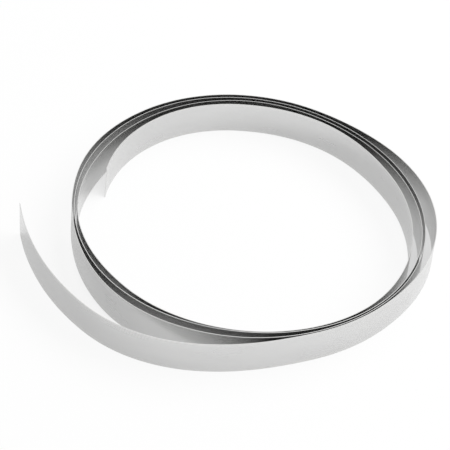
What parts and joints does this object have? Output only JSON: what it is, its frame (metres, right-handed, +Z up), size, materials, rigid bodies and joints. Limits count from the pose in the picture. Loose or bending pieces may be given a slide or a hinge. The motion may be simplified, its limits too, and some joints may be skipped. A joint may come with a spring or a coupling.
{
  "type": "nickel-plated strip",
  "caption": "Thin nickel-plated strip left in a loose coil that stands on its edge, both ends free, cut to length for welding tabs and contacts.",
  "frame": {"origin": "middle of the coil's outline, on the floor at the strip's lower edge", "axes": "+X to the right, away from the sprung outer end, +Y to the back, +Z up along the strip's width"},
  "size_m": [0.0924, 0.0838, 0.008],
  "materials": {
    "nickel": "satin nickel plate with a fine rolling grain along the strip"
  },
  "bodies": {
    "root": {"nickel_strip": "nickel"}
  },
  "joints": []
}
